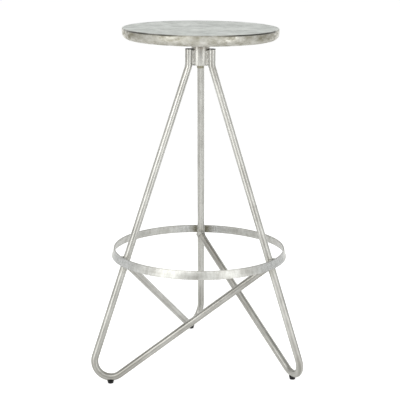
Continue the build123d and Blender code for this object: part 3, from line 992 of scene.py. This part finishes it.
class STOOL_OT_plastics(bpy.types.Operator):
    """Mould the black tube plugs, glides and bushes"""
    bl_idname = "stool.plastics"
    bl_label = "Plugs, glides and bushes"

    def execute(self, context):
        finish = context.scene.stool_finish
        moulded = plastic_finish(finish, "black_plastic", flow=(2, 2, 1))
        turned = plastic_finish(finish, "black_nylon", flow=(1, 1, 6))
        for place in LEG_TURNS:
            smoothed("tube_plug_" + place, "plug_" + place, "frame", moulded)
            smoothed("glide_" + place, "foot_" + place, "frame", moulded)
        for node, name in (("upper_bush", "bush_upper"), ("lower_bush", "bush_lower"),
                           ("thrust_washer", "thrust_ring")):
            smoothed(node, name, "frame", turned)
        return {"FINISHED"}


# Studio

STRIP_SIZE = (0.6, 1.3)
STRIP_DISTANCE = 1.6
STRIP_HEIGHT = 0.7
FRONT_STRIP_TURN = 40
BACK_STRIP_TURN = 145
RIGHT_STRIP_SHARE = 0.8
BAR_SIZE = (3.6, 0.35)
BAR_PLACE = (-0.2, -1.4, 1.75)
BAR_AIM = (math.radians(45), 0, 0)
KEY_SIZE = (0.6, 0.3)
KEY_PLACE = (-0.55, -1.55, 1.3)
KEY_AIM = (math.radians(55), 0, math.radians(-20))
FLOOR_HALF_SIZE = 40
FLOOR_DROP = 0.0002
FLOOR_COLOUR = (0.97, 0.97, 0.97, 1)
FLOOR_GLOW = 0.62
WHITE = (1, 1, 1, 1)
SENSOR_WIDTH = 36


class STOOL_OT_stage(bpy.types.Operator):
    """Set the pale floor, the soft lights and the camera"""
    bl_idname = "stool.stage"
    bl_label = "Studio"

    def execute(self, context):
        studio = context.scene.stool_studio
        context.scene.view_settings.view_transform = "Standard"
        pale_floor()
        pale_world(context.scene, studio.fill)
        strip_light("strip_left", -FRONT_STRIP_TURN, studio.strip_power)
        strip_light("strip_right", FRONT_STRIP_TURN, studio.strip_power * RIGHT_STRIP_SHARE)
        strip_light("strip_back_left", -BACK_STRIP_TURN, studio.back_power)
        strip_light("strip_back_right", BACK_STRIP_TURN, studio.back_power)
        soft_light("high_bar", BAR_SIZE, studio.bar_power, BAR_PLACE, BAR_AIM)
        soft_light("key", KEY_SIZE, studio.key_power, KEY_PLACE, KEY_AIM)
        place_camera(context.scene, studio)
        return {"FINISHED"}


def seen_directly(tree):
    """A mask of the rays that look at the background: camera, mirror and glass rays."""
    path = put(tree, "ShaderNodeLightPath").outputs
    either = maths(tree, "MAXIMUM", path["Is Camera Ray"], path["Is Glossy Ray"])
    return maths(tree, "MAXIMUM", either, path["Is Transmission Ray"])


def pale_floor():
    """A wide white floor that keeps the stool's soft shadow and is clear from below."""
    bm = bmesh.new()
    bmesh.ops.create_grid(bm, x_segments=1, y_segments=1, size=FLOOR_HALF_SIZE)
    bmesh.ops.translate(bm, verts=bm.verts[:], vec=(0, 0, -FLOOR_DROP))
    mesh = as_mesh(bm, "floor")
    material = bpy.data.materials.new("pale_floor")
    material.use_nodes = True
    tree = material.node_tree
    tree.nodes.clear()
    lit = put(tree, "ShaderNodeBsdfDiffuse", {"Color": FLOOR_COLOUR})
    glow = put(tree, "ShaderNodeEmission", {"Strength": overlap(tree, seen_directly(tree), FLOOR_GLOW)})
    both = put(tree, "ShaderNodeAddShader", {0: lit.outputs[0], 1: glow.outputs[0]})
    behind = put(tree, "ShaderNodeNewGeometry").outputs["Backfacing"]
    clear = put(tree, "ShaderNodeBsdfTransparent")
    seen = put(tree, "ShaderNodeMixShader", {0: behind, 1: both.outputs[0], 2: clear.outputs[0]})
    put(tree, "ShaderNodeOutputMaterial", {"Surface": seen.outputs[0]})
    mesh.materials.append(material)
    floor = linked("floor", mesh)


def pale_world(scene, fill):
    """Even light from all round, with a white background."""
    world = bpy.data.worlds.new("studio")
    scene.world = world
    world.use_nodes = True
    tree = world.node_tree
    tree.nodes.clear()
    dim = put(tree, "ShaderNodeBackground", {"Color": WHITE, "Strength": fill})
    white = put(tree, "ShaderNodeBackground", {"Color": WHITE, "Strength": 1.0})
    mixed = put(tree, "ShaderNodeMixShader",
                {0: seen_directly(tree), 1: dim.outputs[0], 2: white.outputs[0]})
    put(tree, "ShaderNodeOutputWorld", {"Surface": mixed.outputs[0]})


def soft_light(name, size, power, location, rotation):
    """A soft rectangle of light."""
    light = bpy.data.lights.new(name, "AREA")
    light.shape = "RECTANGLE"
    light.size, light.size_y = size
    light.energy = power
    lamp = linked(name, light)
    lamp.location = location
    lamp.rotation_euler = rotation


def strip_light(name, azimuth, power):
    """An upright strip of soft light that faces the stool."""
    angle = math.radians(azimuth)
    place = (STRIP_DISTANCE * math.sin(angle), -STRIP_DISTANCE * math.cos(angle), STRIP_HEIGHT)
    soft_light(name, STRIP_SIZE, power, place, (math.radians(90), 0, angle))


def place_camera(scene, studio):
    """The camera at the photograph's height, distance and aim."""
    level = math.cos(studio.pitch)
    ahead = Vector((math.sin(studio.pan) * level, math.cos(studio.pan) * level, -math.sin(studio.pitch)))
    right = Vector((math.cos(studio.pan), -math.sin(studio.pan), 0))
    upward = right.cross(ahead)
    side = right * math.cos(studio.roll) + upward * math.sin(studio.roll)
    rise = upward * math.cos(studio.roll) - right * math.sin(studio.roll)
    aim = Matrix((side, rise, -ahead)).transposed().to_4x4()
    spot = Matrix.Translation((0, -studio.distance, studio.height))
    data = bpy.data.cameras.new("camera")
    data.sensor_width = SENSOR_WIDTH
    data.lens = studio.lens
    camera = linked("camera", data)
    camera.matrix_world = Matrix.Rotation(studio.turn, 4, "Z") @ spot @ aim
    scene.camera = camera


# Panel and registration

OPERATORS = (STOOL_OT_hub, STOOL_OT_legs, STOOL_OT_foot_ring, STOOL_OT_welds, STOOL_OT_seat,
             STOOL_OT_swivel, STOOL_OT_plastics, STOOL_OT_stage)


class STOOL_PT_panel(bpy.types.Panel):
    """Buttons for each group of the stool's pieces"""
    bl_idname = "STOOL_PT_panel"
    bl_label = "Bar stool"
    bl_space_type = "VIEW_3D"
    bl_region_type = "UI"
    bl_category = "Stool"

    def draw(self, context):
        for operator in OPERATORS:
            self.layout.operator(operator.bl_idname)


CLASSES = (StoolSizes, StoolFinish, StudioSettings, *OPERATORS, STOOL_PT_panel)


def register():
    for item in CLASSES:
        bpy.utils.register_class(item)
    bpy.types.Scene.stool_sizes = PointerProperty(type=StoolSizes)
    bpy.types.Scene.stool_finish = PointerProperty(type=StoolFinish)
    bpy.types.Scene.stool_studio = PointerProperty(type=StudioSettings)


def unregister():
    del bpy.types.Scene.stool_studio
    del bpy.types.Scene.stool_finish
    del bpy.types.Scene.stool_sizes
    for item in reversed(CLASSES):
        bpy.utils.unregister_class(item)


def main():
    """Build every piece in order."""
    register()
    bpy.ops.stool.hub()
    bpy.ops.stool.legs()
    bpy.ops.stool.foot_ring()
    bpy.ops.stool.welds()
    bpy.ops.stool.seat()
    bpy.ops.stool.swivel()
    bpy.ops.stool.plastics()
    bpy.ops.stool.stage()


if __name__ == "__main__":
    main()
